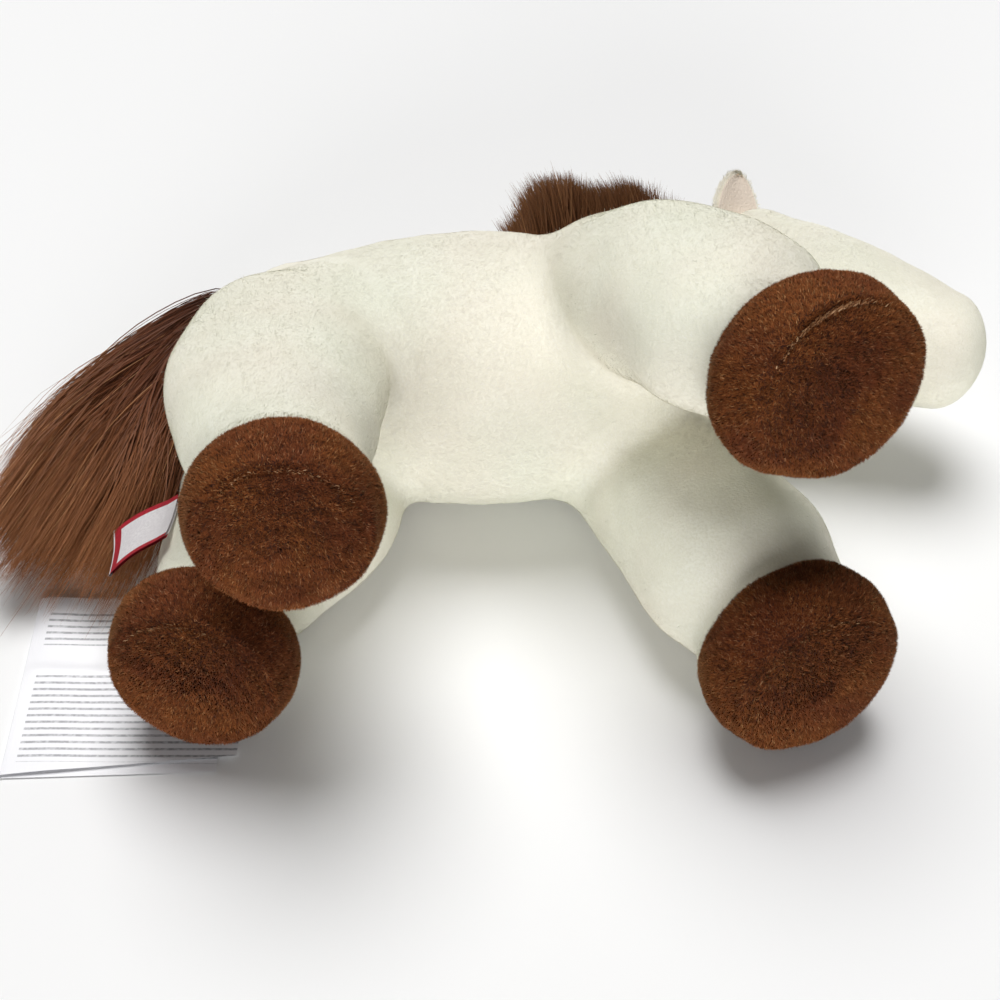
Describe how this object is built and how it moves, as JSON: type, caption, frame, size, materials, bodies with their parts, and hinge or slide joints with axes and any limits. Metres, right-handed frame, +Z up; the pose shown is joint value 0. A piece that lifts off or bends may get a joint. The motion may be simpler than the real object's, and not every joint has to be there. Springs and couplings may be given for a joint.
{
  "type": "plush horse",
  "caption": "Soft plush horse lying on its left side, pale short pile with dark hooves, mane and tail, and limbs that flex at their seams.",
  "frame": {"origin": "middle of the flat that the left flank is pressed to, on the floor", "axes": "+X along the trunk to the chest, +Y to the back, +Z up to the right side; the horse lies on its left side"},
  "size_m": [0.2755, 0.1784, 0.1149],
  "materials": {
    "pale_plush": "short cream pile",
    "brown_plush": "short dense brown pile",
    "mane_hair": "long dark brown pile",
    "tail_hair": "long reddish brown pile",
    "ear_lining": "short pinkish pile",
    "fibre_fill": "loose polyester fibre",
    "eye_plastic": "polished dark plastic",
    "washer_plastic": "plain white plastic",
    "satin_label": "thin white satin",
    "woven_tag": "woven red border round a bare pale field"
  },
  "bodies": {
    "trunk": {"left_side_panel": "pale_plush", "right_side_panel": "pale_plush", "belly_panel": "pale_plush", "trunk_stuffing": "fibre_fill", "mane": "mane_hair", "care_label": "satin_label"},
    "rear_left_leg": {"rear_left_sleeve": "pale_plush", "rear_left_hoof": "brown_plush", "rear_left_sole": "brown_plush", "rear_left_stuffing": "fibre_fill"},
    "rear_right_leg": {"rear_right_sleeve": "pale_plush", "rear_right_hoof": "brown_plush", "rear_right_sole": "brown_plush", "rear_right_stuffing": "fibre_fill"},
    "front_left_leg": {"front_left_sleeve": "pale_plush", "front_left_hoof": "brown_plush", "front_left_sole": "brown_plush", "front_left_stuffing": "fibre_fill"},
    "front_right_leg": {"front_right_sleeve": "pale_plush", "front_right_hoof": "brown_plush", "front_right_sole": "brown_plush", "front_right_stuffing": "fibre_fill"},
    "head": {"head_left_panel": "pale_plush", "head_right_panel": "pale_plush", "head_gusset": "pale_plush", "head_stuffing": "fibre_fill", "left_eye": "eye_plastic", "left_eye_washer": "washer_plastic", "right_eye": "eye_plastic", "right_eye_washer": "washer_plastic", "poll_mane": "mane_hair", "forelock": "mane_hair"},
    "left_ear_leaf": {"left_ear": "pale_plush", "left_ear_lining": "ear_lining"},
    "right_ear_leaf": {"right_ear": "pale_plush", "right_ear_lining": "ear_lining"},
    "tail_brush": {"tail": "tail_hair"},
    "tag": {"side_tag": "woven_tag"}
  },
  "joints": [
    {"name": "rear_left_swing", "type": "hinge", "parent": "trunk", "child": "rear_left_leg", "pos_m": [-0.055, -0.009, 0.0175], "axis": [0, 0, 1], "range_deg": [-12, 12], "stiffness_Nm_per_rad": 0.3},
    {"name": "rear_right_swing", "type": "hinge", "parent": "trunk", "child": "rear_right_leg", "pos_m": [-0.055, -0.009, 0.056], "axis": [0, 0, 1], "range_deg": [-12, 12], "stiffness_Nm_per_rad": 0.3},
    {"name": "front_left_swing", "type": "hinge", "parent": "trunk", "child": "front_left_leg", "pos_m": [0.036, -0.013, 0.0175], "axis": [0, 0, 1], "range_deg": [-12, 12], "stiffness_Nm_per_rad": 0.3},
    {"name": "front_right_swing", "type": "hinge", "parent": "trunk", "child": "front_right_leg", "pos_m": [0.029, 0.004, 0.061], "axis": [0, 0, 1], "range_deg": [-12, 12], "stiffness_Nm_per_rad": 0.3},
    {"name": "head_nod", "type": "hinge", "parent": "trunk", "child": "head", "pos_m": [0.06, 0.016, 0.0355], "axis": [0, 0, 1], "range_deg": [-10, 10], "stiffness_Nm_per_rad": 0.4},
    {"name": "left_ear_flap", "type": "hinge", "parent": "head", "child": "left_ear_leaf", "pos_m": [0.06859, 0.04616, 0.02311], "axis": [-0.8728, -0.0263, -0.4874], "range_deg": [-15, 15], "stiffness_Nm_per_rad": 0.01},
    {"name": "right_ear_flap", "type": "hinge", "parent": "head", "child": "right_ear_leaf", "pos_m": [0.06859, 0.04616, 0.04789], "axis": [0.8728, 0.0263, -0.4874], "range_deg": [-15, 15], "stiffness_Nm_per_rad": 0.01},
    {"name": "tail_swing", "type": "hinge", "parent": "trunk", "child": "tail_brush", "pos_m": [-0.07401, 0.022, 0.0395], "axis": [0, 0, 1], "range_deg": [-25, 5], "stiffness_Nm_per_rad": 0.01},
    {"name": "tag_flap", "type": "hinge", "parent": "rear_left_leg", "child": "tag", "pos_m": [-0.0851, -0.05681, 0.03475], "axis": [-0.0767, -0.9945, 0.0711], "range_deg": [-20, 20], "stiffness_Nm_per_rad": 0.003}
  ]
}
